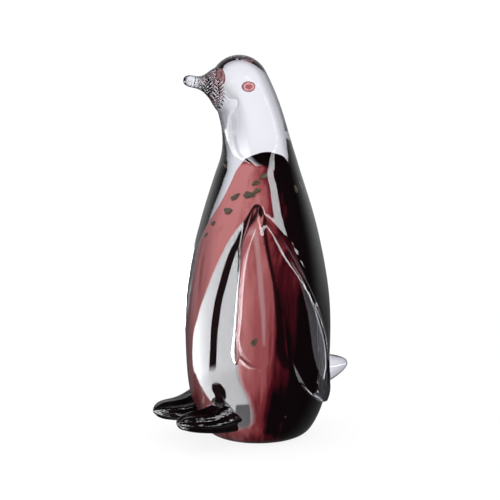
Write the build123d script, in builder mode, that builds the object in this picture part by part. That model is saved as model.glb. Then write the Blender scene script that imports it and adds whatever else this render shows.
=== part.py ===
"""Solid studio-glass penguin: a clear casing round a coloured core, with hot-applied clear
wings, tail and beak, dark feet and inlaid cane-slice eyes.

The figure looks along -Y, its left side is +X and it stands on its ground face at Z = 0.
Azimuths are in degrees from the front toward the left side.
"""

import os
from math import cos, pi, radians, sin, sqrt

from build123d import *

os.makedirs("parts", exist_ok=True)

# Body, in millimetres. Drops are measured down from the crown and gaps up from the ground, so
# that the head, core and wings go along when the height changes
height = 180.0
belly_radius = 34.2
base_radius = 22.8
base_edge_radius = 3.0
head_radius = 13.6
head_reach = 9.8
neck_foot_drop = 54.0

# Coloured core
core_top_drop = 46.0
core_radius = 23.6
core_set_back = 2.4

# Chips let into the shoulder of the core
fleck_length = 4.2
fleck_width = 2.4
fleck_depth = 1.0

# Beak and the flare it is pulled from
beak_tip_reach = 38.7
beak_root_reach = 12.0
beak_root_width = 24.6
beak_root_tall = 24.2
beak_tip_diameter = 5.9
beak_root_drop = 15.6
beak_rise = 5.1

# Eyes, each an oval slice of cane in three layers
eye_width = 6.2
eye_tall = 4.8
eye_depth = 1.4
eye_proud = 0.25
eye_rim_width = 0.5
eye_iris_width = 0.8
eye_drop = 13.3
eye_azimuth = 81.0

# Wings: a front lobe fused all along and a rear lobe whose tip stands free
wing_azimuth = 62.0
wing_top_drop = 66.0
wing_front_gap = 42.0
wing_rear_gap = 19.4
wing_rear_start = 5.0
wing_front_width = 21.2
wing_rear_width = 20.8
wing_thickness = 6.8
wing_lift = 0.2
wing_tip_lift = 4.5

# Tail
tail_tip_reach = 49.4
tail_root_reach = 26.0
tail_root_width = 15.0
tail_root_tall = 15.6
tail_root_height = 26.6
tail_rise = 1.6

# Feet
foot_spacing = 25.0
foot_toe_reach = 49.0
foot_root_reach = 18.0
foot_width = 19.0
foot_tall = 12.4
foot_height = 13.4
foot_ridge_depth = 0.7
foot_ridge_count = 7
foot_points_per_ridge = 4

# Named overrun for every cutter that has to pass through a face
overrun = 5.0

neck_foot_height = height - neck_foot_drop
core_height = height - core_top_drop
beak_root_height = height - beak_root_drop
eye_height = height - eye_drop
wing_top_height = height - wing_top_drop
wing_front_length = wing_top_height - wing_front_gap
wing_rear_length = wing_top_height - wing_rear_gap

# Body outline: share of the neck's foot height, share of the belly radius
trunk_shares = (
    (0.07, 0.830),
    (0.16, 0.938),
    (0.28, 0.988),
    (0.40, 1.000),
    (0.52, 0.983),
    (0.63, 0.928),
    (0.74, 0.848),
    (0.84, 0.756),
    (0.93, 0.654),
)
# Neck outline: share of the way from its foot to the head's centre, share of the way from
# the head's radius to the belly's
neck_shares = ((0.0, 0.287), (0.2, 0.162), (0.4, 0.085), (0.6, 0.046), (0.8, 0.020), (1.0, 0.0))
# Core outline: share of its height, share of its radius
core_shares = (
    (0.00, 0.66),
    (0.06, 0.84),
    (0.16, 0.96),
    (0.30, 1.00),
    (0.45, 0.96),
    (0.58, 0.90),
    (0.68, 0.81),
    (0.79, 0.60),
    (0.87, 0.455),
    (0.925, 0.36),
    (0.96, 0.285),
    (0.985, 0.185),
)
# Chips: azimuth, share of the core's height, turn from level
fleck_places = (
    (8.0, 0.795, 20.0),
    (24.0, 0.850, 60.0),
    (44.0, 0.862, 5.0),
    (60.0, 0.885, 40.0),
    (72.0, 0.935, 15.0),
    (108.0, 0.905, -30.0),
    (140.0, 0.880, 10.0),
    (185.0, 0.860, 45.0),
    (225.0, 0.820, -15.0),
    (262.0, 0.770, 30.0),
    (330.0, 0.740, 15.0),
    (56.0, 0.370, 80.0),
)
# Beak sections: share of the way from root to tip, shares of the root's width and height
# beyond the tip's diameter, share of the rise
beak_shares = (
    (0.000, 1.000, 1.000, 0.00),
    (0.150, 0.940, 0.960, 0.00),
    (0.285, 0.730, 0.870, 0.00),
    (0.442, 0.385, 0.450, 0.42),
    (0.580, 0.128, 0.140, 0.58),
    (0.712, 0.005, 0.005, 0.74),
    (0.861, 0.000, 0.000, 0.93),
    (0.951, -0.090, -0.090, 0.98),
)
# Wing lobe sections: share of the length from the top, turn from the wing's azimuth,
# shares of the width, thickness, tip lift, and the flare in degrees: outward behind, or in front
# where it is negative
front_lobe_shares = (
    (0.111, -1.5, 0.283, 0.647, 0.044, -5.0),
    (0.250, -2.5, 0.575, 0.824, 0.089, -12.0),
    (0.472, -1.5, 0.792, 0.971, 0.133, -16.0),
    (0.694, -0.5, 0.915, 1.000, 0.133, -18.0),
    (0.861, 0.0, 1.000, 0.912, 0.089, -16.0),
    (0.958, 0.0, 0.792, 0.676, 0.044, -12.0),
)
rear_lobe_shares = (
    (0.095, 8.0, 0.231, 0.471, -0.022, 0.0),
    (0.169, 14.0, 0.423, 0.647, 0.000, 0.0),
    (0.275, 22.0, 0.596, 0.735, 0.067, 3.0),
    (0.402, 30.0, 0.788, 0.765, 0.178, 8.0),
    (0.529, 35.5, 0.923, 0.735, 0.356, 13.0),
    (0.655, 39.5, 1.000, 0.706, 0.533, 16.0),
    (0.772, 43.0, 0.942, 0.676, 0.667, 17.0),
    (0.867, 47.0, 0.788, 0.618, 0.778, 18.0),
    (0.941, 52.0, 0.558, 0.529, 0.889, 18.0),
)
# Tail sections: share of the way from root to tip, shares of its height and width, of the rise
tail_shares = (
    (0.00, 1.00, 1.00, 0.00),
    (0.25, 0.97, 0.93, 0.06),
    (0.50, 0.87, 0.76, 0.22),
    (0.73, 0.66, 0.54, 0.55),
    (0.91, 0.38, 0.30, 0.90),
)
# Foot sections: share of the way from root to toe, shares of its width and height, and how
# far its middle stands over the foot's height
foot_shares = (
    (0.00, 0.94, 1.00, 0.02),
    (0.36, 1.00, 1.00, 0.00),
    (0.50, 0.95, 0.82, -0.04),
    (0.74, 0.76, 0.68, -0.02),
    (0.91, 0.46, 0.48, 0.00),
)


def follow(shares, share):
    """Straight-line reading of a two-column table of shares."""
    for (low, low_value), (high, high_value) in zip(shares, shares[1:]):
        if share <= high:
            break
    return low_value + (high_value - low_value) * (share - low) / (high - low)


def neck_radius(radius_share):
    """Radius of the neck at a share of the way from the head's radius to the belly's."""
    return head_radius + (belly_radius - head_radius) * radius_share


def trunk_radius(level):
    """Radius of the body at a height below the neck's foot."""
    foot = (0.0, base_radius / belly_radius)
    top = (1.0, neck_radius(neck_shares[0][1]) / belly_radius)
    return belly_radius * follow((foot, *trunk_shares, top), level / neck_foot_height)


def around(azimuth):
    """Level unit vector at an azimuth."""
    return Vector(sin(radians(azimuth)), -cos(radians(azimuth)), 0)


def lobe_plane(drop, turn, half_width, lift, flare):
    """Level plane of a wing section: X runs back along the body, Y points away from it."""
    level = wing_top_height - drop
    azimuth = wing_azimuth + turn
    reach = sqrt(trunk_radius(level) ** 2 - half_width**2) + lift
    backward = around(azimuth + 90 - flare)
    return Plane(around(azimuth) * reach + Vector(0, 0, level), x_dir=backward, z_dir=(0, 0, 1))


def lobe_end(drop, turn, lift):
    """Point where a wing lobe begins or ends, on or over the body's surface."""
    level = wing_top_height - drop
    return around(wing_azimuth + turn) * (trunk_radius(level) + lift) + Vector(0, 0, level)


# Axis of the neck: one arc from the upright body that leans to the head's centre
head_centre = Vector(0, -head_reach, height - head_radius)
with BuildLine() as neck_axis:
    TangentArc((0, 0, neck_foot_height), head_centre, tangent=(0, 0, 1))

# Outside of the glass body, from the ground face to the crown
with BuildPart() as body:
    with BuildSketch(Plane.XY):
        Circle(base_radius)
    for height_share, radius_share in trunk_shares:
        with BuildSketch(Plane.XY.offset(neck_foot_height * height_share)):
            Circle(belly_radius * radius_share)
    for axis_share, radius_share in neck_shares:
        place = neck_axis.line @ axis_share
        with BuildSketch(Plane(place, x_dir=(1, 0, 0), z_dir=neck_axis.line % axis_share)):
            Circle(neck_radius(radius_share))
    loft()
    with Locations(Plane(head_centre, x_dir=(1, 0, 0), z_dir=neck_axis.line % 1)):
        Sphere(head_radius, arc_size1=0, align=(Align.CENTER, Align.CENTER, Align.MIN))
    fillet(body.edges().group_by(Axis.Z)[0], base_edge_radius)

# Coloured core before the chips are let into it
with BuildPart() as core_gather:
    core_sections = []
    for height_share, radius_share in core_shares:
        with BuildSketch(Plane((0, core_set_back, core_height * height_share))) as section:
            Circle(core_radius * radius_share)
        core_sections.append(section.sketch)
    loft([*core_sections, Vertex(0, core_set_back, core_height)])

# Chips, each a thin flake whose outer face follows the core
with BuildPart() as core_flecks:
    for azimuth, height_share, turn in fleck_places:
        outward = around(azimuth)
        core_wall = core_radius * follow((*core_shares, (1.0, 0.0)), height_share)
        seat = outward * (core_wall - fleck_depth) + Vector(0, core_set_back, core_height * height_share)
        with BuildSketch(Plane(seat, x_dir=around(azimuth + 90), z_dir=outward)):
            with Locations(Rotation(0, 0, turn)):
                Ellipse(fleck_length / 2, fleck_width / 2)
        extrude(amount=fleck_depth + overrun)
    add(core_gather.part, mode=Mode.INTERSECT)

with BuildPart() as amethyst_core:
    add(core_gather.part)
    add(core_flecks.part, mode=Mode.SUBTRACT)

# Eyes: one oval plug on each side of the head, cut into a rim, an iris and a pupil
eye_rise = (eye_height - head_centre.Z) / head_radius
eye_pieces = {}
for side, side_name in ((1, "left"), (-1, "right")):
    flat_share = sqrt(1 - eye_rise**2)
    outward = around(side * eye_azimuth) * flat_share + Vector(0, 0, eye_rise)
    eye_plane = Plane(
        head_centre + outward * (head_radius - eye_depth),
        x_dir=around(side * eye_azimuth + 90),
        z_dir=outward,
    )
    borders = (0.0, eye_rim_width, eye_rim_width + eye_iris_width)
    for layer, (layer_name, border) in enumerate(zip(("rim", "iris", "pupil"), borders)):
        with BuildPart() as eye_layer:
            with BuildSketch(eye_plane):
                Ellipse(eye_width / 2 - border, eye_tall / 2 - border)
                if layer < 2:
                    inner = borders[layer + 1]
                    Ellipse(eye_width / 2 - inner, eye_tall / 2 - inner, mode=Mode.SUBTRACT)
            extrude(amount=eye_depth + overrun)
            with Locations(head_centre):
                Sphere(head_radius + eye_proud, mode=Mode.INTERSECT)
        eye_pieces[f"{side_name}_eye_{layer_name}"] = eye_layer

# Clear casing: the body without the core and the eyes
with BuildPart() as clear_casing:
    add(body.part)
    add(core_gather.part, mode=Mode.SUBTRACT)
    for eye_layer in eye_pieces.values():
        add(eye_layer.part, mode=Mode.SUBTRACT)

# Beak with the flare that joins it to the face
beak_length = beak_tip_reach - beak_root_reach
with BuildPart() as beak:
    beak_sections = []
    for reach_share, width_share, tall_share, rise_share in beak_shares:
        place = (0, -beak_root_reach - beak_length * reach_share, beak_root_height + beak_rise * rise_share)
        with BuildSketch(Plane(place, x_dir=(1, 0, 0), z_dir=(0, -1, 0))) as section:
            Ellipse(
                (beak_tip_diameter + (beak_root_width - beak_tip_diameter) * width_share) / 2,
                (beak_tip_diameter + (beak_root_tall - beak_tip_diameter) * tall_share) / 2,
            )
        beak_sections.append(section.sketch)
    loft([*beak_sections, Vertex(0, -beak_tip_reach, beak_root_height + beak_rise)])
    add(body.part, mode=Mode.SUBTRACT)

# Left wing, then its mirror image. Each lobe: length, width, depth of its start below the top
# and into the body, turns of its start and end, lift of its end, sections
lobes = (
    (wing_front_length, wing_front_width, 0.0, 0.0, 0.0, 0.0, front_lobe_shares),
    (wing_rear_length, wing_rear_width, wing_rear_start, 4.0, 58.0, wing_tip_lift, rear_lobe_shares),
)
with BuildPart() as left_wing:
    for length, width, start, first_turn, last_turn, last_lift, table in lobes:
        sections = [Vertex(*lobe_end(start, first_turn, -start / 2))]
        for drop_share, turn, width_share, thick_share, lift_share, flare in table:
            half_width = width * width_share / 2
            lift = wing_lift + wing_tip_lift * lift_share
            with BuildSketch(lobe_plane(length * drop_share, turn, half_width, lift, flare)) as section:
                Ellipse(half_width, wing_thickness * thick_share / 2)
            sections.append(section.sketch)
        sections.append(Vertex(*lobe_end(length, last_turn, last_lift)))
        loft(sections)
    add(body.part, mode=Mode.SUBTRACT)

with BuildPart() as right_wing:
    mirror(left_wing.part, about=Plane.YZ)

# Tail
tail_length = tail_tip_reach - tail_root_reach
with BuildPart() as tail:
    tail_sections = []
    for reach_share, tall_share, width_share, rise_share in tail_shares:
        place = (0, tail_root_reach + tail_length * reach_share, tail_root_height + tail_rise * rise_share)
        with BuildSketch(Plane(place, x_dir=(-1, 0, 0), z_dir=(0, 1, 0))) as section:
            Ellipse(tail_root_width * width_share / 2, tail_root_tall * tall_share / 2)
        tail_sections.append(section.sketch)
    loft([*tail_sections, Vertex(0, tail_tip_reach, tail_root_height + tail_rise)])
    add(body.part, mode=Mode.SUBTRACT)

# Left foot, a leaf with lengthwise ridges that meet at the toe, then its mirror image
foot_length = foot_toe_reach - foot_root_reach
with BuildPart() as left_foot:
    foot_sections = []
    for reach_share, width_share, tall_share, rise_share in foot_shares:
        place = (
            foot_spacing / 2,
            -foot_root_reach - foot_length * reach_share,
            foot_height + foot_tall * rise_share,
        )
        outline = []
        for step in range(foot_ridge_count * foot_points_per_ridge):
            angle = 2 * pi * step / (foot_ridge_count * foot_points_per_ridge)
            ridge = foot_ridge_depth * width_share * cos(foot_ridge_count * angle)
            outline.append(
                (
                    (foot_width * width_share / 2 + ridge) * cos(angle),
                    (foot_tall * tall_share / 2 + ridge) * sin(angle),
                )
            )
        with BuildSketch(Plane(place, x_dir=(1, 0, 0), z_dir=(0, -1, 0))) as section:
            with BuildLine():
                Spline(*outline, periodic=True)
            make_face()
        foot_sections.append(section.sketch)
    loft([*foot_sections, Vertex(foot_spacing / 2, -foot_toe_reach, foot_height)])
    add(body.part, mode=Mode.SUBTRACT)

with BuildPart() as right_foot:
    mirror(left_foot.part, about=Plane.YZ)

pieces = {
    "clear_casing": clear_casing,
    "amethyst_core": amethyst_core,
    "core_flecks": core_flecks,
    "beak": beak,
    "left_wing": left_wing,
    "right_wing": right_wing,
    "tail": tail,
    "left_foot": left_foot,
    "right_foot": right_foot,
    **eye_pieces,
}
for name, piece in pieces.items():
    piece.part.label = name
    export_step(piece.part, f"parts/{name}.step")
    solids = len(piece.part.solids())
    print(f"{name}: {solids} solid(s), {piece.part.volume:.0f} cubic mm, valid {piece.part.is_valid}")
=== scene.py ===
"""Studio-glass penguin: clear cased body with wings, tail and beak, coloured core, feet and eyes."""

from math import atan2, cos, degrees, hypot, pi, radians, sin, sqrt

import bmesh
import bpy
from mathutils import Matrix, Vector


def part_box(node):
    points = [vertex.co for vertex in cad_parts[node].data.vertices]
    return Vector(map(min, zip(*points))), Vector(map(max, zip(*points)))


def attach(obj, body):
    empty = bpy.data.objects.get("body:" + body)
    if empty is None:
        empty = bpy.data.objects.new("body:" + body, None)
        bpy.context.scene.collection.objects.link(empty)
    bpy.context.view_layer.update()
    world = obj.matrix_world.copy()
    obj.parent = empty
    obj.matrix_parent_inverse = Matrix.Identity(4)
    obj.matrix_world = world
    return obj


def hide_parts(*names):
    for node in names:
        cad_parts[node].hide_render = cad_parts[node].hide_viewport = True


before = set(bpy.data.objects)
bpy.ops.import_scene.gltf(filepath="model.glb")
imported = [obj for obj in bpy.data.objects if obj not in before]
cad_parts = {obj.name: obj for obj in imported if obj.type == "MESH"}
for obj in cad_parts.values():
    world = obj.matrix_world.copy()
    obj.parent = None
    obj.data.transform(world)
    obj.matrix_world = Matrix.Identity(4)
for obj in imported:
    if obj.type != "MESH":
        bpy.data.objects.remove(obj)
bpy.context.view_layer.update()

millimetre = 0.001

# The photograph's frame: 500 by 500 pixels, the figure's upright axis at this column and its
# ground face at this row, with the true size of one pixel. The sensor is in thousandths of a metre
photo_width = 500
axis_column = 258.0
ground_row = 434.8
pixel_size = 0.000468
camera_azimuth = 62.0
camera_elevation = 11.0
camera_distance = 0.95
sensor_width = 36.0

body_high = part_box("clear_casing")[1]
figure_height = body_high[2]
belly_radius = body_high[0]


def along(azimuth, elevation=0.0):
    """Unit vector at an azimuth from the front toward the left side, and an elevation."""
    a, e = radians(azimuth), radians(elevation)
    return Vector((sin(a) * cos(e), -cos(a) * cos(e), sin(e)))


# Camera's axes and place
camera_back = along(camera_azimuth, camera_elevation)
camera_right = along(camera_azimuth + 90)
camera_up = camera_back.cross(camera_right)
photo_middle = photo_width / 2
aim_height = (ground_row - photo_middle) * pixel_size / cos(radians(camera_elevation))
camera_aim = camera_right * (photo_middle - axis_column) * pixel_size + Vector((0, 0, aim_height))
camera_place = camera_aim + camera_back * camera_distance

# Lines that the photograph shows on the body, from the top down, each place a column and a row.
# First the edges of the front light panel as the body mirrors it, which also bound the painted shade
# of the dark leaf on the core
panel_left = (
    (255, 207), (243, 222), (230, 239), (220, 258), (211, 279), (203, 300), (197, 320), (193, 345),
    (193, 360), (196, 374), (201, 386), (207, 396), (215, 406), (228, 418), (240, 428),
)
panel_right = (
    (259, 206), (250, 232), (245, 258), (242, 298), (239, 340), (238, 370), (242, 386), (247, 397),
    (250, 408), (251, 419), (248, 428),
)
# The dark slit, the dark oval and the grey block in the panel, and the table's edge across it
slit_left = (
    (251, 211), (243, 225), (235.5, 240), (228, 255), (220.5, 279), (215, 300), (211.5, 323),
    (210, 346), (209, 369),
)
slit_right = (
    (253, 211), (247, 225), (240, 240), (235, 255), (228, 279), (222.5, 300), (219, 323),
    (217, 346), (216, 369),
)
oval_left = ((214, 383), (212, 388), (214, 394), (219, 401))
oval_right = ((217, 383), (222, 386), (226, 393), (225, 401))
block_left = ((236, 405), (235, 416), (234, 428))
block_right = ((249, 405), (250, 416), (250, 428))
table_edge = (225, 372)
# The light strip down the shoulder
strip_left = (
    (268, 180), (271, 195), (274, 216), (278, 233), (288.5, 248), (296, 261), (302, 273),
    (307.5, 292), (312.5, 308), (317, 330),
)
strip_right = (
    (273.5, 180), (278, 195), (281.5, 216), (286.5, 233), (295.5, 248), (301.5, 261), (306.5, 273),
    (311, 292), (315.5, 308), (320, 330),
)
# The crease's painted shade and the streak's painted highlight in the colour under the wing
crease_shade_left = ((255, 206), (260, 240), (266, 267), (271, 300), (275, 330), (276, 352), (283, 368))
crease_shade_right = ((259, 206), (269, 240), (276, 267), (282, 300), (286, 330), (287, 352), (297, 368))
painted_highlight_left = ((252.5, 226), (253.5, 256), (256, 300), (260, 345))
painted_highlight_right = ((255, 226), (257, 256), (260.5, 300), (262, 345))


def between(table, share):
    """Smooth reading of a table of rows, each a place and its values, by a cubic through them."""
    places = [row[0] for row in table]
    share = min(max(share, places[0]), places[-1])
    k = max(i for i in range(len(places) - 1) if places[i] <= share or i == 0)
    step = places[k + 1] - places[k]
    t = (share - places[k]) / step
    values = []
    for column in range(1, len(table[0])):
        v = [row[column] for row in table]

        def slope(i):
            low, high = max(i - 1, 0), min(i + 1, len(v) - 1)
            return (v[high] - v[low]) / (places[high] - places[low])

        start, end = slope(k) * step, slope(k + 1) * step
        values.append(
            v[k] * (2 * t**3 - 3 * t**2 + 1)
            + start * (t**3 - 2 * t**2 + t)
            + v[k + 1] * (3 * t**2 - 2 * t**3)
            + end * (t**3 - t**2)
        )
    return values


def readings(table, count):
    """Even steps along a table of rows: each a place and the table's values there."""
    low, high = table[0][0], table[-1][0]
    for k in range(count):
        place = low + (high - low) * k / (count - 1)
        yield (place, *between(table, place))


def even_curve(points):
    """Function through points, with even curvature: each point a place and its value."""
    xs, ys = [p[0] for p in points], [p[1] for p in points]
    n = len(xs)
    steps = [xs[k + 1] - xs[k] for k in range(n - 1)]
    rise = [(ys[k + 1] - ys[k]) / steps[k] for k in range(n - 1)]
    # Second derivatives by elimination, zero at both ends
    bend, factor, value = [0.0] * n, [0.0] * n, [0.0] * n
    for k in range(1, n - 1):
        pivot = 2 * (steps[k - 1] + steps[k]) - steps[k - 1] * factor[k - 1]
        factor[k] = steps[k] / pivot
        value[k] = (6 * (rise[k] - rise[k - 1]) - steps[k - 1] * value[k - 1]) / pivot
    for k in range(n - 2, 0, -1):
        bend[k] = value[k] - factor[k] * bend[k + 1]

    def read(x):
        x = min(max(x, xs[0]), xs[-1])
        k = max(i for i in range(n - 1) if xs[i] <= x or i == 0)
        h, a, b = steps[k], xs[k + 1] - x, x - xs[k]
        curve = (bend[k] * a**3 + bend[k + 1] * b**3) / (6 * h)
        return curve + (ys[k] / h - bend[k] * h / 6) * a + (ys[k + 1] / h - bend[k + 1] * h / 6) * b

    return read


def plane_at(place, x_dir, z_dir):
    """Matrix of a plane at a place, from its X direction and its normal."""
    z = Vector(z_dir).normalized()
    x = (Vector(x_dir) - z * Vector(x_dir).dot(z)).normalized()
    y = z.cross(x)
    return Matrix.Translation(place) @ Matrix((x, y, z)).transposed().to_4x4()


def add_loft(mesh, rings, sides):
    """A closed skin through rings, each a placed ellipse: matrix, half width, half height."""
    loops = []
    for place, half_width, half_height in rings:
        size = Matrix.Diagonal((half_width, half_height, 1.0, 1.0))
        made = bmesh.ops.create_circle(mesh, segments=sides, radius=1.0, matrix=place @ size)
        loops.append(made["verts"])
    for first, second in zip(loops, loops[1:]):
        edges = [e for loop in (first, second) for v in loop for e in v.link_edges]
        ring = {e for e in edges if set(e.verts) <= set(first) or set(e.verts) <= set(second)}
        bmesh.ops.bridge_loops(mesh, edges=list(ring))
    for loop in (loops[0], loops[-1]):
        rim = {e for v in loop for e in v.link_edges if set(e.verts) <= set(loop)}
        bmesh.ops.edgenet_fill(mesh, edges=list(rim))


def as_object(name, mesh):
    """Bare object at the origin from a bmesh, with its normals outward."""
    bmesh.ops.recalc_face_normals(mesh, faces=mesh.faces)
    data = bpy.data.meshes.new(name)
    mesh.to_mesh(data)
    mesh.free()
    made = bpy.data.objects.new(name, data)
    bpy.context.collection.objects.link(made)
    return made


def finish_mesh(name, mesh, material):
    """Smooth piece of one material from a bmesh."""
    bmesh.ops.remove_doubles(mesh, verts=mesh.verts, dist=1e-7)
    piece = as_object(name, mesh)
    for face in piece.data.polygons:
        face.use_smooth = True
    piece.data.materials.append(material)
    return piece


def new_material(name):
    """Node material that is empty but for its output."""
    material = bpy.data.materials.new(name)
    material.use_nodes = True
    nodes = material.node_tree.nodes
    nodes.clear()
    return material, nodes, material.node_tree.links, nodes.new("ShaderNodeOutputMaterial")


def new_surface(name, kind="ShaderNodeBsdfPrincipled"):
    """Node material with one shader, which makes its surface."""
    material, nodes, links, output = new_material(name)
    shader = nodes.new(kind)
    links.new(shader.outputs["BSDF"], output.inputs["Surface"])
    return material, nodes, links, shader


def object_place(nodes):
    """Socket of the place in the object's own coordinates."""
    return nodes.new("ShaderNodeTexCoord").outputs["Object"]


def split_of(nodes, links, vector):
    """The X, Y and Z sockets of a vector."""
    split = nodes.new("ShaderNodeSeparateXYZ")
    links.new(vector, split.inputs["Vector"])
    return split.outputs


def dot_of(nodes, links, vector, direction):
    """How far a vector reaches along a direction."""
    dot = nodes.new("ShaderNodeVectorMath")
    dot.operation = "DOT_PRODUCT"
    dot.inputs[1].default_value = direction
    links.new(vector, dot.inputs[0])
    return dot.outputs["Value"]


def math_of(nodes, links, operation, first, second=None, third=None, clamp=False):
    """Math node on sockets or plain numbers."""
    node = nodes.new("ShaderNodeMath")
    node.operation = operation
    node.use_clamp = clamp
    for socket, value in zip(node.inputs, (first, second, third)):
        if value is None:
            continue
        if isinstance(value, (int, float)):
            socket.default_value = value
        else:
            links.new(value, socket)
    return node.outputs["Value"]


def soft_step(nodes, links, value, low, high):
    """0 below low, 1 above high and a smooth rise between; low above high turns it round."""
    fade = nodes.new("ShaderNodeMapRange")
    fade.interpolation_type = "SMOOTHSTEP"
    start, end = (0.0, 1.0) if low < high else (1.0, 0.0)
    fade.inputs["From Min"].default_value = min(low, high)
    fade.inputs["From Max"].default_value = max(low, high)
    fade.inputs["To Min"].default_value = start
    fade.inputs["To Max"].default_value = end
    links.new(value, fade.inputs["Value"])
    return fade.outputs["Result"]


def read_curve(nodes, links, value, points):
    """Curve node through places and values that all lie between 0 and 1."""
    node = nodes.new("ShaderNodeFloatCurve")
    curve = node.mapping.curves[0]
    points = sorted(points)
    for place in points[1:-1]:
        curve.points.new(*place)
    curve.points[0].location = points[0]
    curve.points[len(curve.points) - 1].location = points[-1]
    node.mapping.extend = "HORIZONTAL"
    node.mapping.update()
    links.new(value, node.inputs["Value"])
    return node.outputs["Value"]


def ramp_of(nodes, links, value, stops, interpolation="EASE"):
    """Colour by a value, through stops that are each a position and a colour."""
    ramp = nodes.new("ShaderNodeValToRGB")
    ramp.color_ramp.interpolation = interpolation
    while len(ramp.color_ramp.elements) < len(stops):
        ramp.color_ramp.elements.new(0.5)
    for element, (position, colour) in zip(ramp.color_ramp.elements, stops):
        element.position = position
        element.color = (*colour, 1)
    links.new(value, ramp.inputs["Fac"])
    return ramp.outputs["Color"]


def noise_of(nodes, links, vector, scale, detail, roughness=0.5):
    """Cloudy values between 0 and 1."""
    noise = nodes.new("ShaderNodeTexNoise")
    noise.inputs["Scale"].default_value = scale
    noise.inputs["Detail"].default_value = detail
    noise.inputs["Roughness"].default_value = roughness
    links.new(vector, noise.inputs["Vector"])
    return noise.outputs["Fac"]


def scaled_by(nodes, links, vector, scale, shift=(0, 0, 0)):
    """Vector stretched along each axis, then shifted."""
    mapping = nodes.new("ShaderNodeMapping")
    mapping.inputs["Location"].default_value = shift
    mapping.inputs["Scale"].default_value = scale
    links.new(vector, mapping.inputs["Vector"])
    return mapping.outputs["Vector"]


def add_bump(nodes, links, shader, height, strength, distance):
    """Relief of a shader's surface by a height."""
    bump = nodes.new("ShaderNodeBump")
    bump.inputs["Strength"].default_value = strength
    bump.inputs["Distance"].default_value = distance
    links.new(height, bump.inputs["Height"])
    links.new(bump.outputs["Normal"], shader.inputs["Normal"])


def mix_shaders(nodes, links, share, first, second):
    """Mix of two shaders, all of the second where the share is 1."""
    mix = nodes.new("ShaderNodeMixShader")
    links.new(share, mix.inputs["Fac"])
    links.new(first, mix.inputs[1])
    links.new(second, mix.inputs[2])
    return mix.outputs["Shader"]


def paint_over(nodes, links, share, colour, paint):
    """A colour socket under plain paint, all paint where the share is 1."""
    mix = nodes.new("ShaderNodeMix")
    mix.data_type = "RGBA"
    factor, under, over = mix.inputs[0], mix.inputs[6], mix.inputs[7]
    links.new(share, factor)
    links.new(colour, under)
    over.default_value = (*paint, 1)
    return mix.outputs[2]


# Body outline along its axis, which runs up the trunk and then on along the neck's arc: place
# along the axis and radius. They are thousandths of a metre at the base, and shares of the length
# and of the belly's radius up the trunk. Along the neck they are shares of its length and of the
# way from the head's radius to the belly's
head_radius = 0.0136
head_reach = 0.0098
neck_foot = figure_height - 0.054
head_centre = Vector((0.0, -head_reach, figure_height - head_radius))
neck_rise = head_centre.z - neck_foot
bend_radius = (neck_rise**2 + head_reach**2) / (2 * head_reach)
neck_turn = atan2(neck_rise, bend_radius - head_reach)
neck_length = bend_radius * neck_turn
base_edge = ((0.0, 20.4), (0.9, 22.4), (3.0, 24.9))
trunk_shares = (
    (0.07, 0.830), (0.16, 0.938), (0.28, 0.988), (0.40, 1.000), (0.52, 0.983), (0.63, 0.928),
    (0.74, 0.848), (0.84, 0.756), (0.93, 0.654),
)
neck_shares = ((0.0, 0.287), (0.2, 0.162), (0.4, 0.085), (0.6, 0.046), (0.8, 0.020), (1.0, 0.0))
body_radius = even_curve(
    [(place * millimetre, radius * millimetre) for place, radius in base_edge]
    + [(neck_foot * place, belly_radius * radius) for place, radius in trunk_shares]
    + [
        (neck_foot + neck_length * place, head_radius + (belly_radius - head_radius) * radius)
        for place, radius in neck_shares
    ]
)
body_rings = 110
dome_rings = 16
body_sides = 128
# How much closer together the rings lie at the base
ring_crowding = 0.25


def trunk_radius(level):
    """Radius of the body at a height under the neck."""
    return body_radius(min(level, neck_foot))


def add_body(mesh):
    """Body, neck and head: rings up the upright trunk, along the neck's arc and over the crown."""
    rings = []
    for k in range(body_rings):
        share = k / (body_rings - 1)
        spread = ring_crowding * share**2 + (1 - ring_crowding) * share
        place = (neck_foot + neck_length) * spread
        radius = body_radius(place)
        turn = max(0.0, place - neck_foot) / bend_radius
        centre = Vector((0, -bend_radius * (1 - cos(turn)), min(place, neck_foot)))
        centre.z += bend_radius * sin(turn)
        rings.append((plane_at(centre, (1, 0, 0), (0, -sin(turn), cos(turn))), radius, radius))
    axis = Vector((0, -sin(neck_turn), cos(neck_turn)))
    for k in range(1, dome_rings):
        polar = pi / 2 * k / dome_rings
        place = head_centre + axis * head_radius * sin(polar)
        radius = head_radius * cos(polar)
        rings.append((plane_at(place, (1, 0, 0), axis), radius, radius))
    add_loft(mesh, rings, body_sides)


# Beak and tail sections in thousandths of a metre: reach, half width, half height, level
beak_sections = (
    (12.0, 12.3, 12.1, 164.4),
    (16.0, 11.7, 11.7, 164.4),
    (19.6, 9.8, 10.9, 164.5),
    (23.8, 6.6, 7.2, 166.5),
    (27.5, 4.3, 4.3, 167.4),
    (31.0, 3.0, 3.05, 168.2),
    (35.0, 2.95, 2.95, 169.2),
    (37.2, 2.3, 2.3, 169.4),
    (38.4, 1.1, 1.1, 169.5),
)
tail_sections = (
    (26.0, 7.5, 7.8, 26.6),
    (31.8, 7.0, 7.6, 26.7),
    (37.7, 5.7, 6.8, 26.95),
    (43.1, 4.0, 5.1, 27.5),
    (47.3, 2.3, 2.95, 28.0),
    (49.0, 1.2, 1.4, 28.2),
)
pulled_rings = 36
pulled_sides = 48


def add_pulled_bit(mesh, sections, forward):
    """A bit of glass drawn out level: forward is -1 for the beak and +1 for the tail."""
    rings = []
    for reach, half_width, half_height, level in readings(sections, pulled_rings):
        place = Vector((0, forward * reach, level)) * millimetre
        matrix = plane_at(place, (1, 0, 0), (0, forward, 0))
        rings.append((matrix, half_width * millimetre, half_height * millimetre))
    add_loft(mesh, rings, pulled_sides)


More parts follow.
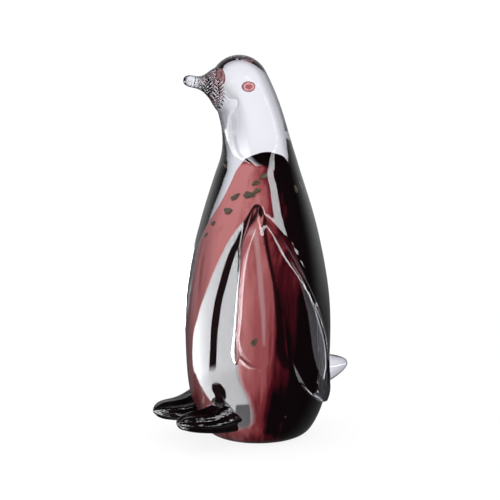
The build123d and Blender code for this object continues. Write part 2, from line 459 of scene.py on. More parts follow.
# Wing lobes: drop below the wing's top, azimuth, half width, half thickness, lift over the
# body, and flare in degrees, outward behind, or in front where it is negative
wing_top = 114.0
front_lobe = (
    (1.5, 61.5, 1.2, 1.5, 0.3, 0.0),
    (8.0, 60.5, 3.2, 2.4, 0.5, -5.0),
    (18.0, 59.5, 6.1, 2.9, 0.7, -12.0),
    (34.0, 60.5, 8.4, 3.3, 0.8, -16.0),
    (50.0, 61.5, 9.7, 3.4, 0.8, -18.0),
    (62.0, 62.0, 10.6, 3.1, 0.6, -16.0),
    (69.0, 62.0, 8.4, 2.3, 0.4, -12.0),
    (73.5, 62.0, 3.0, 1.0, 0.0, -4.0),
)
rear_lobe = (
    (5.5, 67.0, 1.2, 1.0, -0.6, 0.0),
    (9.0, 70.0, 2.4, 1.6, 0.1, 0.0),
    (16.0, 76.0, 4.4, 2.2, 0.2, 0.0),
    (26.0, 84.0, 6.2, 2.5, 0.5, 3.0),
    (38.0, 92.0, 8.2, 2.6, 1.0, 8.0),
    (50.0, 97.5, 9.6, 2.5, 1.8, 13.0),
    (62.0, 101.5, 10.4, 2.4, 2.6, 16.0),
    (73.0, 105.0, 9.8, 2.3, 3.2, 17.0),
    (82.0, 109.0, 8.2, 2.1, 3.7, 18.0),
    (89.0, 114.0, 5.8, 1.8, 4.2, 18.0),
    (94.0, 119.0, 2.2, 1.1, 4.5, 18.0),
)
lobe_rings = 56
lobe_sides = 40
# Share of its flare that the right wing's front edge keeps: the outline in the photograph leaves
# it no more room
right_wing_flare = 0.1


def lobe_section(side, drop, azimuth, half_width, lift, flare):
    """Middle of a lobe's section, whose ends reach the body's skin, and its backward direction."""
    level = (wing_top - drop) * millimetre
    reach = sqrt(trunk_radius(level) ** 2 - (half_width * millimetre) ** 2) + lift * millimetre
    if side < 0 and flare < 0:
        flare *= right_wing_flare
    place = along(side * azimuth) * reach + Vector((0, 0, level))
    return place, along(side * (azimuth + 90 - flare))


def add_wing(mesh, side):
    """Both lobes of a wing: side is 1 for the left and -1 for the right."""
    for table in (front_lobe, rear_lobe):
        rings = []
        for drop, azimuth, half_width, half_thick, lift, flare in readings(table, lobe_rings):
            place, backward = lobe_section(side, drop, azimuth, half_width, lift, flare)
            matrix = plane_at(place, backward, (0, 0, 1))
            rings.append((matrix, half_width * millimetre, half_thick * millimetre))
        add_loft(mesh, rings, lobe_sides)


# Clear glass: size of the cells that its bits are melted together in, rounds of smoothing after
# that, and how strongly it bends light
glass_voxel = 0.0007
glass_smoothing = 7
glass_ior = 1.5
# Its painted edge shade: a tint that greys from where it faces the eye to its outline
glass_edge_shade = (
    (0.00, (0.985, 0.985, 0.995)),
    (0.20, (0.940, 0.940, 0.975)),
    (0.44, (0.420, 0.420, 0.450)),
    (0.68, (0.110, 0.110, 0.125)),
    (1.00, (0.020, 0.020, 0.024)),
)
# Strength of the neck's mirror images, and the heights between which they fade to it
neck_shine = 0.15
shine_top = neck_foot + 0.003
shine_end = neck_foot + 0.016
# Marks of the pincers' jaws: middle, width of a row, rise along it, pitch and depth of the teeth,
# and the distances from the middle that the marks end at and are full at
jaw_middle = (0.0, -0.0255, 0.1635)
jaw_row = 0.0022
jaw_rise = 1.1
jaw_pitch = 0.0017
jaw_depth = 0.00038
jaw_end = 0.0105
jaw_full = 0.0065


def add_jaw_marks(nodes, links, shader, place, level, reach):
    """Herringbone of the pincers' jaws at the root of the beak."""
    zigzag = math_of(nodes, links, "PINGPONG", reach, jaw_row)
    rows = math_of(nodes, links, "MULTIPLY_ADD", zigzag, jaw_rise, level)
    teeth = math_of(nodes, links, "SINE", math_of(nodes, links, "MULTIPLY", rows, 2 * pi / jaw_pitch))
    away = nodes.new("ShaderNodeVectorMath")
    away.operation = "DISTANCE"
    away.inputs[1].default_value = jaw_middle
    links.new(place, away.inputs[0])
    held = soft_step(nodes, links, away.outputs["Value"], jaw_end, jaw_full)
    add_bump(nodes, links, shader, math_of(nodes, links, "MULTIPLY", teeth, held), 1.0, jaw_depth)


def clear_glass_material():
    """Clear fire-polished glass with painted shade that greys it toward its outline."""
    material, nodes, links, shader = new_surface("clear_glass")
    # Painted shade: the colour greys toward the outline by how the outside faces the eye
    facing = nodes.new("ShaderNodeLayerWeight")
    facing.inputs["Blend"].default_value = 0.5
    inside = nodes.new("ShaderNodeNewGeometry").outputs["Backfacing"]
    outside = math_of(nodes, links, "SUBTRACT", 1.0, inside)
    grazing = math_of(nodes, links, "MULTIPLY", facing.outputs["Facing"], outside)
    links.new(ramp_of(nodes, links, grazing, glass_edge_shade), shader.inputs["Base Color"])
    shader.inputs["Roughness"].default_value = 0.0
    shader.inputs["IOR"].default_value = glass_ior
    shader.inputs["Transmission Weight"].default_value = 1.0
    place = object_place(nodes)
    split = split_of(nodes, links, place)
    neck = soft_step(nodes, links, split["Z"], shine_top, shine_end)
    shine = ramp_of(nodes, links, neck, ((0.0, (1, 1, 1)), (1.0, (neck_shine,) * 3)), "LINEAR")
    links.new(shine, shader.inputs["Specular Tint"])
    add_jaw_marks(nodes, links, shader, place, split["Z"], split["Y"])
    return material


def make_clear_glass():
    """Body, wings, beak and tail in one closed skin, because the real bits melt into each other."""
    mesh = bmesh.new()
    add_body(mesh)
    add_pulled_bit(mesh, beak_sections, -1)
    add_pulled_bit(mesh, tail_sections, 1)
    add_wing(mesh, 1)
    add_wing(mesh, -1)
    draft = as_object("glass_draft", mesh)
    remesh = draft.modifiers.new("fuse", "REMESH")
    remesh.mode = "VOXEL"
    remesh.voxel_size = glass_voxel
    remesh.adaptivity = 0.0
    fused = bmesh.new()
    fused.from_object(draft, bpy.context.evaluated_depsgraph_get())
    bpy.data.objects.remove(draft)
    for _ in range(glass_smoothing):
        bmesh.ops.smooth_vert(
            fused, verts=fused.verts, factor=0.5, use_axis_x=True, use_axis_y=True, use_axis_z=True
        )
    return finish_mesh("glass_body", fused, clear_glass_material())


# Core outline in shares of its height and radius
core_shares = (
    (0.00, 0.66), (0.06, 0.84), (0.16, 0.96), (0.30, 1.00), (0.45, 0.96), (0.58, 0.90), (0.68, 0.81),
    (0.79, 0.60), (0.87, 0.455), (0.925, 0.36), (0.96, 0.285), (0.985, 0.185), (0.998, 0.06),
)
core_outline = even_curve(core_shares)
core_low, core_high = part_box("amethyst_core")
core_radius = core_high[0]
core_height = core_high[2]
core_set_back = (core_low[1] + core_high[1]) / 2
core_rings = 90
core_sides = 96
# How much closer together the rings lie at the crown, and the lowest ring's lift off the ground
crown_crowding = 1.6
core_lift = 0.0002
# Share of the core's height up and down that its slope is read over
slope_span = 0.01


def body_gap(place):
    """How far a place lies outside the body's skin, by its distance from the body's axis."""
    if place.z <= neck_foot:
        return hypot(place.x, place.y) - body_radius(place.z)
    reach = hypot(place.z - neck_foot, place.y + bend_radius)
    turn = atan2(place.z - neck_foot, place.y + bend_radius)
    return hypot(place.x, reach - bend_radius) - body_radius(neck_foot + bend_radius * turn)


def core_gap(place):
    """How far a place lies outside the core's skin."""
    share = place.z / core_height
    return hypot(place.x, place.y - core_set_back) - core_radius * core_outline(share)


# Search along a line of sight: how near the figure's axis it starts, its step and number of
# steps, the halvings of the last step, and how far aside the gap is read for a skin's normal
search_start = 0.08
search_step = 0.0008
search_count = 200
search_halvings = 24
search_aside = 1e-5


def skin_met(gap, start, direction):
    """First place along a line where it meets a skin, and the skin's normal, or None."""
    steps = range(search_count)
    near = next((k for k in steps if gap(start + direction * k * search_step) < 0), None)
    if near is None:
        return None
    low, high = (near - 1) * search_step, near * search_step
    for _ in range(search_halvings):
        middle = (low + high) / 2
        low, high = (low, middle) if gap(start + direction * middle) < 0 else (middle, high)
    place = start + direction * high
    sides = [Vector([search_aside * (axis == k) for k in range(3)]) for axis in range(3)]
    normal = Vector([gap(place + side) - gap(place - side) for side in sides]).normalized()
    return place, normal


def body_seen(column, row):
    """Line of sight through a pixel of the photograph, and where it meets the body's skin."""
    across = (column - photo_middle) * pixel_size / camera_distance
    upward = (photo_middle - row) * pixel_size / camera_distance
    sight = (camera_right * across + camera_up * upward - camera_back).normalized()
    met = skin_met(body_gap, camera_place + sight * (camera_distance - search_start), sight)
    return sight, met


def core_seen(column, row):
    """Azimuth and share of height on the core's skin, as seen through the clear glass at a pixel,
    or at the next pixel toward the axis where the core is seen."""
    while True:
        sight, met = body_seen(column, row)
        if met:
            place, normal = met
            facing = -sight.dot(normal) / glass_ior
            inner = sight / glass_ior
            inner += normal * (facing - sqrt(1 - 1 / glass_ior**2 + facing**2))
            met = skin_met(core_gap, place, inner)
        if met:
            place = met[0]
            return degrees(atan2(place.x, core_set_back - place.y)), place.z / core_height
        column += 1 if column < axis_column else -1


def room_seen(column, row):
    """Direction in which the body's skin mirrors the room at a pixel of the photograph."""
    sight, (_, normal) = body_seen(column, row)
    return sight - 2 * sight.dot(normal) * normal


# Core colours from the back to the breast
core_colours = (
    (0.00, (0.004, 0.0015, 0.002)),
    (0.42, (0.006, 0.0020, 0.003)),
    (0.54, (0.080, 0.0060, 0.012)),
    (0.64, (0.260, 0.0380, 0.046)),
    (0.76, (0.500, 0.1250, 0.130)),
    (0.97, (0.740, 0.2750, 0.270)),
)
# Zones by the wings, painted light in the core's colour: painted shade in the dark leaf that the panel's
# mirror image lies over and in the crease, and a painted highlight in the streak, each with its paint,
# how well that covers, and the softness of its edges
leaf_shade_paint = (0.005, 0.003, 0.004)
leaf_shade_cover = 0.985
leaf_shade_soft = 0.014
# The crease's paint is painted shade
crease_shade_paint = (0.006, 0.002, 0.003)
crease_shade_cover = 0.92
crease_shade_soft = 0.012
# The streak's paint is a painted highlight that stands in for the wing's shine
painted_highlight_paint = (0.700, 0.450, 0.460)
painted_highlight_cover = 0.60
painted_highlight_soft = 0.008
# Softness of the zones' ends, in shares of the core's height
zone_foot_soft = 0.010
zone_top_soft = 0.006
# Least distance from the axis, in shares of the core's radius, for the turn of the colours
least_reach = 0.02
# Drawn-out streaks: scale along each axis and of the noise, and how far they shift the colour
streak_stretch = (2.3, 2.3, 0.9)
streak_scale = 1.7
streak_shift = 1.5
# Darkening at the crown and the foot: the shares of height where it starts and is full, and how
# far it shifts the colour
crown_start = 0.945
crown_full = 0.985
crown_shift = -1.6
foot_start = 0.30
foot_full = 0.10
foot_shift = -0.42


def zone_mask(nodes, links, azimuth, height, left, right, softness):
    """Mask of the core's skin between two lines of pixels."""
    mask = None
    ends = []
    for line, low, high in ((left, -softness, softness), (right, softness, -softness)):
        places = [core_seen(*pixel) for pixel in line]
        ends += [share for _, share in places]
        edge = read_curve(nodes, links, height, [(share, turn / 180) for turn, share in places])
        gap = math_of(nodes, links, "SUBTRACT", azimuth, edge)
        side = soft_step(nodes, links, gap, low, high)
        mask = side if mask is None else math_of(nodes, links, "MULTIPLY", mask, side)
    for low, high in (
        (min(ends) - zone_foot_soft, min(ends) + zone_foot_soft),
        (max(ends) + zone_top_soft, max(ends) - zone_top_soft),
    ):
        mask = math_of(nodes, links, "MULTIPLY", mask, soft_step(nodes, links, height, low, high))
    return mask


def core_position(nodes, links, centred, split):
    """Place in the core's colours, from 0 behind to 1 at the breast."""
    square = math_of(nodes, links, "MULTIPLY", split["X"], split["X"])
    deep = math_of(nodes, links, "MULTIPLY", split["Y"], split["Y"])
    reach = math_of(nodes, links, "SQRT", math_of(nodes, links, "ADD", square, deep))
    # Never nought, since the next step divides by it
    reach = math_of(nodes, links, "MAXIMUM", reach, least_reach)
    forward = math_of(nodes, links, "DIVIDE", split["Y"], reach)
    forward = math_of(nodes, links, "MULTIPLY", forward, -1.0)
    crown = soft_step(nodes, links, split["Z"], crown_start, crown_full)
    forward = math_of(nodes, links, "MULTIPLY_ADD", crown, crown_shift, forward)
    foot = soft_step(nodes, links, split["Z"], foot_start, foot_full)
    forward = math_of(nodes, links, "MULTIPLY_ADD", foot, foot_shift, forward)
    drawn = scaled_by(nodes, links, centred, streak_stretch)
    noise = noise_of(nodes, links, drawn, streak_scale, 4.0, 0.55)
    uneven = math_of(nodes, links, "SUBTRACT", noise, 0.5)
    forward = math_of(nodes, links, "MULTIPLY_ADD", uneven, streak_shift, forward)
    return math_of(nodes, links, "MULTIPLY_ADD", forward, 0.5, 0.5, clamp=True)


def core_material():
    """Milky rose down the breast, through maroon to near-black amethyst behind and on top, with
    painted shade in the leaf and the crease by the wings and a painted highlight in the streak.
    """
    material, nodes, links, shader = new_surface("amethyst_core")
    shrink = (1 / core_radius, 1 / core_radius, 1 / core_height)
    centre = (0, -core_set_back / core_radius, 0)
    centred = scaled_by(nodes, links, object_place(nodes), shrink, centre)
    split = split_of(nodes, links, centred)
    position = core_position(nodes, links, centred, split)
    colour = ramp_of(nodes, links, position, core_colours)
    # Azimuth from the front as a share of half a turn, for the left side alone and for both
    across = math_of(nodes, links, "ABSOLUTE", split["X"])
    front = math_of(nodes, links, "MULTIPLY", split["Y"], -1.0)
    left_turn = math_of(nodes, links, "ARCTAN2", split["X"], front)
    left_turn = math_of(nodes, links, "DIVIDE", left_turn, pi)
    turn = math_of(nodes, links, "DIVIDE", math_of(nodes, links, "ARCTAN2", across, front), pi)
    # Painted light in the colour: painted shade in the leaf and the crease, a painted highlight in the
    # streak
    for azimuth, left, right, paint, cover, softness in (
        (left_turn, panel_left, panel_right, leaf_shade_paint, leaf_shade_cover, leaf_shade_soft),
        (turn, crease_shade_left, crease_shade_right, crease_shade_paint, crease_shade_cover, crease_shade_soft),
        (turn, painted_highlight_left, painted_highlight_right, painted_highlight_paint, painted_highlight_cover, painted_highlight_soft),
    ):
        mask = zone_mask(nodes, links, azimuth, split["Z"], left, right, softness)
        share = math_of(nodes, links, "MULTIPLY", mask, cover)
        colour = paint_over(nodes, links, share, colour, paint)
    links.new(colour, shader.inputs["Base Color"])
    shader.inputs["Roughness"].default_value = 0.6
    shader.inputs["Specular IOR Level"].default_value = 0.0
    return material


def make_core():
    """The coloured gather inside the casing."""
    mesh = bmesh.new()
    rings = []
    for k in range(core_rings):
        share = core_shares[-1][0] * (1 - (1 - k / (core_rings - 1)) ** crown_crowding)
        radius = core_radius * core_outline(share)
        level = core_height * share + (core_lift if k == 0 else 0)
        rings.append((Matrix.Translation((0, core_set_back, level)), radius, radius))
    add_loft(mesh, rings, core_sides)
    return finish_mesh("coloured_core", mesh, core_material())


def core_skin(azimuth, share):
    """Place on the core's skin and the outward direction there."""
    radius = core_radius * core_outline(share)
    rise = core_outline(share + slope_span) - core_outline(share - slope_span)
    slope = rise / (2 * slope_span)
    outward = along(azimuth)
    normal = (outward - Vector((0, 0, slope * core_radius / core_height))).normalized()
    return outward * radius + Vector((0, core_set_back, core_height * share)), normal


# Chips of brown glass melted onto the core: those that the photograph shows, each by column and
# row, and those on its hidden side, by azimuth and share of the core's height, all with their
# turn, length and width in thousandths of a metre
seen_chips = (
    (228, 211, 5.0, 4.8, 3.2),
    (235, 197, 45.0, 5.2, 2.6),
    (249, 195, 10.0, 5.0, 3.2),
    (257, 191, 35.0, 3.6, 2.0),
    (256, 183, 30.0, 3.4, 2.2),
    (264, 176, 40.0, 4.2, 2.2),
    (206, 235, 50.0, 3.4, 1.8),
    (296, 189, 85.0, 3.6, 2.0),
    (251, 341, 70.0, 4.2, 2.4),
)
hidden_chips = (
    (185.0, 0.860, 45.0, 4.6, 2.4),
    (225.0, 0.820, -15.0, 4.2, 2.2),
    (262.0, 0.770, 30.0, 4.4, 2.6),
    (330.0, 0.740, 15.0, 4.2, 2.4),
)
chip_thickness = 0.9
# Waves round a chip's edge: their number, height, and turn from one chip to the next
chip_waves = ((3, 0.10, 1.0), (5, 0.07, 2.3))
# Fineness of a chip's mottling and its shades
chip_mottling = 900.0
chip_colours = (
    (0.30, (0.045, 0.028, 0.014)),
    (0.50, (0.115, 0.078, 0.040)),
    (0.70, (0.210, 0.155, 0.090)),
)


def chip_glass_material():
    """Brown crushed glass, mottled, under a soft gloss."""
    material, nodes, links, shader = new_surface("brown_chip_glass")
    noise = noise_of(nodes, links, object_place(nodes), chip_mottling, 3.0)
    links.new(ramp_of(nodes, links, noise, chip_colours), shader.inputs["Base Color"])
    shader.inputs["Roughness"].default_value = 0.35
    return material


def make_chips():
    """Flat irregular grains lying on the core's skin."""
    mesh = bmesh.new()
    chips = [(*core_seen(column, row), *rest) for column, row, *rest in seen_chips]
    for count, (azimuth, share, turn, length, width) in enumerate(chips + list(hidden_chips)):
        place, normal = core_skin(azimuth, share)
        seat = plane_at(place, along(azimuth + 90), normal) @ Matrix.Rotation(radians(turn), 4, "Z")
        halves = [across / 2 * millimetre for across in (length, width, chip_thickness)]
        made = bmesh.ops.create_icosphere(mesh, subdivisions=4, radius=1.0)
        for vert in made["verts"]:
            x, y, z = vert.co
            round_edge = atan2(y, x)
            wave = 1 + sum(high * sin(n * round_edge + shift * count) for n, high, shift in chip_waves)
            vert.co = Vector((x * wave, y * wave, z))
        bmesh.ops.transform(mesh, matrix=seat @ Matrix.Diagonal((*halves, 1.0)), verts=made["verts"])
    return finish_mesh("brown_chips", mesh, chip_glass_material())


# Air drawn out along the wing's front edge: drop below the wing's top, azimuth, half width, and
# lift of its middle over the body's skin
air_channel = (
    (20.0, 47.5, 0.20, 1.0),
    (24.0, 47.2, 0.45, 1.2),
    (34.0, 46.6, 0.60, 1.4),
    (48.0, 45.8, 0.70, 1.4),
    (58.0, 45.0, 0.85, 1.3),
    (64.0, 44.6, 1.50, 1.1),
    (68.0, 44.6, 1.90, 0.9),
    (71.5, 44.8, 1.10, 0.8),
    (73.0, 45.0, 0.20, 0.7),
)
channel_half_depth = 0.8
channel_sides = 24
# Flat air pocket in the rear lobe: drop below the wing's top, distance from the lobe's middle,
# behind it in the left wing and before it in the right one, and half width
air_pocket = (
    (26.0, 3.5, 0.2),
    (34.0, 4.2, 0.9),
    (46.0, 4.6, 1.8),
    (58.0, 4.8, 2.8),
    (68.0, 4.6, 3.2),
    (76.0, 4.2, 2.4),
    (82.0, 3.8, 0.3),
)
pocket_half_depth = 0.45
pocket_sides = 32
air_rings = 60
# Small bubbles: azimuth, then level, depth under the skin and diameter in thousandths of a metre
bubbles = (
    (63.0, 38.0, 3.0, 1.0),
    (70.0, 42.0, 4.0, 0.8),
    (66.0, 96.0, 2.5, 0.7),
    (88.0, 15.0, 3.0, 0.9),
    (30.0, 56.0, 3.5, 0.7),
    (110.0, 60.0, 4.0, 0.9),
    (200.0, 48.0, 3.0, 1.0),
    (250.0, 80.0, 3.5, 0.8),
    (300.0, 30.0, 3.0, 0.9),
    (160.0, 105.0, 3.0, 0.7),
    (40.0, 132.0, 5.0, 0.7),
)


def air_material():
    """Air inside the glass."""
    material, _, _, shader = new_surface("trapped_air", "ShaderNodeBsdfGlass")
    shader.inputs["Roughness"].default_value = 0.0
    shader.inputs["IOR"].default_value = 1 / glass_ior
    return material


def add_air_channel(mesh, side):
    """Air drawn out along the front edge of a wing."""
    rings = []
    for drop, azimuth, half_width, lift in readings(air_channel, air_rings):
        level = (wing_top - drop) * millimetre
        reach = trunk_radius(level) + lift * millimetre
        place = along(side * azimuth) * reach + Vector((0, 0, level))
        matrix = plane_at(place, along(side * azimuth + 90), (0, 0, 1))
        half_depth = min(half_width, channel_half_depth)
        rings.append((matrix, half_width * millimetre, half_depth * millimetre))
    add_loft(mesh, rings, channel_sides)


def add_air_pocket(mesh, side):
    """Flat air pocket in the rear lobe of a wing."""
    rings = []
    for drop, aside, half_width in readings(air_pocket, air_rings):
        azimuth, lobe_width, _, lift, flare = between(rear_lobe, drop)
        place, backward = lobe_section(side, drop, azimuth, lobe_width, lift, flare)
        place += backward * (side * aside * millimetre)
        half_depth = min(half_width, pocket_half_depth)
        matrix = plane_at(place, backward, (0, 0, 1))
        rings.append((matrix, half_width * millimetre, half_depth * millimetre))
    add_loft(mesh, rings, pocket_sides)


def make_air():
    """The air channels and flat pockets of both wings, and the scattered bubbles."""
    mesh = bmesh.new()
    for side in (1, -1):
        add_air_channel(mesh, side)
        add_air_pocket(mesh, side)
    for azimuth, level, depth, across in bubbles:
        level *= millimetre
        reach = trunk_radius(level) - depth * millimetre
        place = Matrix.Translation(along(azimuth) * reach + Vector((0, 0, level)))
        bmesh.ops.create_icosphere(mesh, subdivisions=3, radius=across / 2 * millimetre, matrix=place)
    return finish_mesh("trapped_air", mesh, air_material())


# Feet: how finely the glass is drawn out along each axis, its two shades, and its relief
foot_stretch = (420.0, 70.0, 420.0)
foot_colours = ((0.35, (0.002, 0.001, 0.001)), (0.75, (0.007, 0.002, 0.004)))
foot_relief = 0.0012
# Eyes: the colours of the cane, the shares of them that its mottling runs between, and how fine
# that is
rose_cane = (0.31, 0.100, 0.105)
pink_cane = (0.56, 0.310, 0.320)
cane_shades = (0.72, 1.22)
cane_mottling = 700.0


def dark_glass_material():
    """Near-black amethyst glass of the feet, drawn out in fine ridges."""
    material, nodes, links, shader = new_surface("dark_glass")
    drawn = scaled_by(nodes, links, object_place(nodes), foot_stretch)
    noise = noise_of(nodes, links, drawn, 1.0, 3.0)
    links.new(ramp_of(nodes, links, noise, foot_colours), shader.inputs["Base Color"])
    add_bump(nodes, links, shader, noise, 0.7, foot_relief)
    shader.inputs["Roughness"].default_value = 0.06
    shader.inputs["IOR"].default_value = 1.52
    return material


def opaque_glass_material(name, colour):
    """Opaque coloured glass under a gloss."""
    material, nodes, links, shader = new_surface(name)
    noise = noise_of(nodes, links, object_place(nodes), cane_mottling, 2.0)
    dark, light = [tuple(share * value for value in colour) for share in cane_shades]
    links.new(ramp_of(nodes, links, noise, ((0.35, dark), (0.65, light))), shader.inputs["Base Color"])
    shader.inputs["Roughness"].default_value = 0.12
    return material


def set_material(node, material):
    """Give a CAD node another material."""
    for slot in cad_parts[node].material_slots:
        slot.material = material


# Studio: a white floor in a room that the glass sees through as white, and whose light panels it
# mirrors where the photograph shows them. Through the glass both are dimmer toward the right
through_colour = (0.88, 0.88, 0.94)
through_falloff = 0.36
floor_radius = 3.0
floor_colour = (0.97, 0.97, 0.97)
# How much of the floor the camera sees as plain white, without the figure's shade
floor_glow = 0.85
# Places from the axis toward the camera's right between which the floor gets dimmer, and where
# the room does
floor_dim_start = 0.02
floor_dim_full = 0.35
room_dim_middle = 0.28
room_dim_soft = 0.22
# Middle azimuths of the front panel and of the strip in the room, and what they shine with
panel_middle = -3.0
strip_middle = 139.0
panel_colour = (0.96, 0.97, 1.0)
panel_strength = 14.0
table_strength = 12.0
strip_strength = 11.0
block_strength = 2.6
# How far the strip runs on over its highest place in the photograph
strip_over_top = 0.08
# Softness of what is mirrored: its edges in general, the panel's and the strip's, and all ends
edge_soft = 0.010
panel_left_soft = 0.016
panel_right_soft = 0.045
strip_soft = 0.006
table_soft = 0.006
end_soft = 0.008
# Least drop from one place of a line to the next
least_drop = 0.004
# The backdrop as the glass mirrors it: where it starts along the line of sight and how softly,
# the levels that it brightens between, its strength under them and its gain over them
backdrop_edge = 0.45
backdrop_soft = 0.35
backdrop_under = -0.25
backdrop_over = 0.05
backdrop_low = 0.10
backdrop_gain = 0.55
# What the rest of the room shines with, mirrored and on the surfaces
room_strength = 0.03
even_strength = 1.3


def make_floor():
    """Round white floor under the figure."""
    mesh = bmesh.new()
    bmesh.ops.create_circle(mesh, cap_ends=True, segments=96, radius=floor_radius)
    material, nodes, links, output = new_material("floor_white")
    diffuse = nodes.new("ShaderNodeBsdfDiffuse")
    diffuse.inputs["Color"].default_value = (*floor_colour, 1)
    rays = nodes.new("ShaderNodeLightPath").outputs
    through = nodes.new("ShaderNodeEmission")
    through.inputs["Color"].default_value = (*through_colour, 1)
    sideways = dot_of(nodes, links, object_place(nodes), camera_right)
    rightward = soft_step(nodes, links, sideways, floor_dim_start, floor_dim_full)
    dim = math_of(nodes, links, "MULTIPLY_ADD", rightward, -through_falloff, 1.0)
    links.new(dim, through.inputs["Strength"])
    glow = nodes.new("ShaderNodeEmission")
    back = diffuse.outputs["BSDF"]
    for ray, share, shader in (
        ("Is Transmission Ray", 1.0, through),
        ("Is Camera Ray", floor_glow, glow),
    ):
        share = math_of(nodes, links, "MULTIPLY", rays[ray], share)
        back = mix_shaders(nodes, links, share, back, shader.outputs["Emission"])
    links.new(back, output.inputs["Surface"])
    floor = finish_mesh("floor", mesh, material)
    floor.visible_glossy = False


def lit_side(nodes, links, direction, azimuth, elevation, offset, softness):
    """Mask of the part of the room that lies further along a direction than the offset."""
    reach = dot_of(nodes, links, direction, along(azimuth, elevation))
    return soft_step(nodes, links, reach, offset - softness, offset + softness)


def seen_band(
    nodes, links, direction, middle, left, right, over_top=0.0, left_soft=edge_soft, right_soft=edge_soft
):
    """Mask of the part of the room, about an azimuth, that the body mirrors between two lines."""
    sideways = along(middle + 90)
    upward = split_of(nodes, links, direction)["Z"]
    height = math_of(nodes, links, "MULTIPLY_ADD", upward, 0.5, 0.5)
    across = dot_of(nodes, links, direction, sideways)
    across = math_of(nodes, links, "MULTIPLY_ADD", across, 0.5, 0.5)
    # Only the half of the room on the middle's side
    mask = lit_side(nodes, links, direction, middle, 0, 0.0, 0.1)
    ends = []
    for line, low, high in ((left, -left_soft, left_soft), (right, right_soft, -right_soft)):
        places = []
        for pixel in line:
            toward = room_seen(*pixel)
            place = (0.5 + toward.z / 2, 0.5 + toward.dot(sideways) / 2)
            if not places or place[0] < places[-1][0] - least_drop:
                places.append(place)
        ends += [place[0] for place in places]
        gap = math_of(nodes, links, "SUBTRACT", across, read_curve(nodes, links, height, places))
        mask = math_of(nodes, links, "MULTIPLY", mask, soft_step(nodes, links, gap, low, high))
    top, bottom = max(ends) + over_top, min(ends)
    for low, high in ((top + end_soft, top - end_soft), (bottom - end_soft, bottom + end_soft)):
        mask = math_of(nodes, links, "MULTIPLY", mask, soft_step(nodes, links, height, low, high))
    return mask


def mirrored_light(nodes, links, direction):
    """Strength of the room as the glass mirrors it: light panels, and the white backdrop."""

    def band(middle, left, right, *rest):
        return seen_band(nodes, links, direction, middle, left, right, *rest)

    panel = band(panel_middle, panel_left, panel_right, 0.0, panel_left_soft, panel_right_soft)
    slit = band(panel_middle, slit_left, slit_right)
    oval = band(panel_middle, oval_left, oval_right)
    block = band(panel_middle, block_left, block_right)
    for dark in (slit, oval, block):
        panel = math_of(nodes, links, "SUBTRACT", panel, dark, clamp=True)
    strip = band(strip_middle, strip_left, strip_right, strip_over_top, strip_soft, strip_soft)
    # Under the edge of the table the panel is seen in the table's own shine
    table_top = room_seen(*table_edge).z
    upward = split_of(nodes, links, direction)["Z"]
    over = soft_step(nodes, links, upward, table_top - table_soft, table_top + table_soft)
    shine = math_of(nodes, links, "MULTIPLY_ADD", over, panel_strength - table_strength, table_strength)
    panel = math_of(nodes, links, "MULTIPLY", panel, shine)
    # The white backdrop, which the glass mirrors along its outline, dimmer low down
    azimuth, elevation = camera_azimuth + 180, -camera_elevation
    backdrop = lit_side(nodes, links, direction, azimuth, elevation, backdrop_edge, backdrop_soft)
    above = soft_step(nodes, links, upward, backdrop_under, backdrop_over)
    dimmer = math_of(nodes, links, "MULTIPLY_ADD", above, backdrop_gain, backdrop_low)
    mirrored = math_of(nodes, links, "MULTIPLY_ADD", backdrop, dimmer, room_strength)
    mirrored = math_of(nodes, links, "ADD", mirrored, panel)
    mirrored = math_of(nodes, links, "MULTIPLY_ADD", block, block_strength, mirrored)
    return math_of(nodes, links, "MULTIPLY_ADD", strip, strip_strength, mirrored)


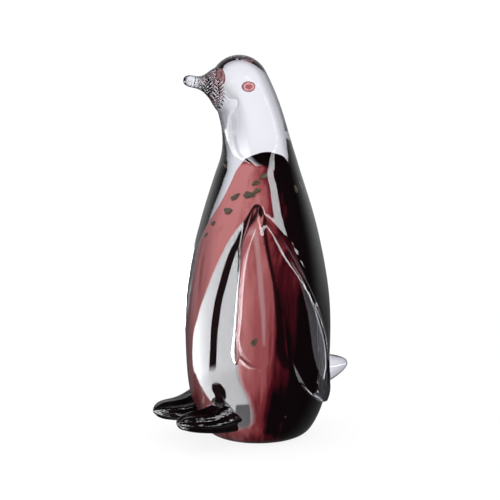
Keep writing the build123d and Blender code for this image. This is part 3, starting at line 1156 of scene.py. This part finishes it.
def make_room():
    """World light: even for the surfaces, white behind clear glass, panels in reflections."""
    world = bpy.data.worlds.new("studio")
    bpy.context.scene.world = world
    world.use_nodes = True
    nodes, links = world.node_tree.nodes, world.node_tree.links
    nodes.clear()
    output = nodes.new("ShaderNodeOutputWorld")
    direction = nodes.new("ShaderNodeTexCoord").outputs["Generated"]
    rays = nodes.new("ShaderNodeLightPath").outputs

    def background(colour, strength=1.0):
        shader = nodes.new("ShaderNodeBackground")
        shader.inputs["Color"].default_value = (*colour, 1)
        if isinstance(strength, float):
            shader.inputs["Strength"].default_value = strength
        else:
            links.new(strength, shader.inputs["Strength"])
        return shader.outputs["Background"]

    panels = background(panel_colour, mirrored_light(nodes, links, direction))
    # The left of the neck looks to the right through its own lens
    right = camera_azimuth + 90
    rightward = lit_side(nodes, links, direction, right, 0, room_dim_middle, room_dim_soft)
    dim = math_of(nodes, links, "MULTIPLY_ADD", rightward, -through_falloff, 1.0)
    seen_through = background(through_colour, dim)
    plain = background((1, 1, 1))

    diffused = math_of(nodes, links, "GREATER_THAN", rays["Diffuse Depth"], 0.5)
    clear = math_of(nodes, links, "SUBTRACT", 1.0, diffused)
    through = math_of(nodes, links, "MULTIPLY", rays["Is Transmission Ray"], clear)
    thrown = math_of(nodes, links, "MULTIPLY", rays["Is Glossy Ray"], clear)
    back = background((1, 1, 1), even_strength)
    back = mix_shaders(nodes, links, thrown, back, panels)
    back = mix_shaders(nodes, links, through, back, seen_through)
    back = mix_shaders(nodes, links, rays["Is Camera Ray"], back, plain)
    links.new(back, output.inputs["Surface"])


def make_camera():
    """Camera at the photograph's angle and framing."""
    data = bpy.data.cameras.new("camera")
    camera = bpy.data.objects.new("camera", data)
    camera.location = camera_place
    camera.rotation_euler = camera_back.to_track_quat("Z", "Y").to_euler()
    data.sensor_width = sensor_width
    data.lens = sensor_width * camera_distance / (photo_width * pixel_size)
    data.clip_start = 0.01
    bpy.context.collection.objects.link(camera)
    bpy.context.scene.camera = camera


glass = make_clear_glass()
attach(glass, "root")
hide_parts("clear_casing", "beak", "left_wing", "right_wing", "tail")

core = make_core()
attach(core, "root")
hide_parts("amethyst_core")

chips_piece = make_chips()
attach(chips_piece, "root")
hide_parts("core_flecks")

air = make_air()
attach(air, "root")

feet_material = dark_glass_material()
for node in ("left_foot", "right_foot"):
    set_material(node, feet_material)
rose_material = opaque_glass_material("rose_cane_glass", rose_cane)
pink_material = opaque_glass_material("pink_cane_glass", pink_cane)
for side in ("left", "right"):
    set_material(f"{side}_eye_rim", rose_material)
    set_material(f"{side}_eye_iris", pink_material)
    set_material(f"{side}_eye_pupil", rose_material)

make_floor()
make_room()
make_camera()
bpy.context.scene.view_settings.view_transform = "Standard"
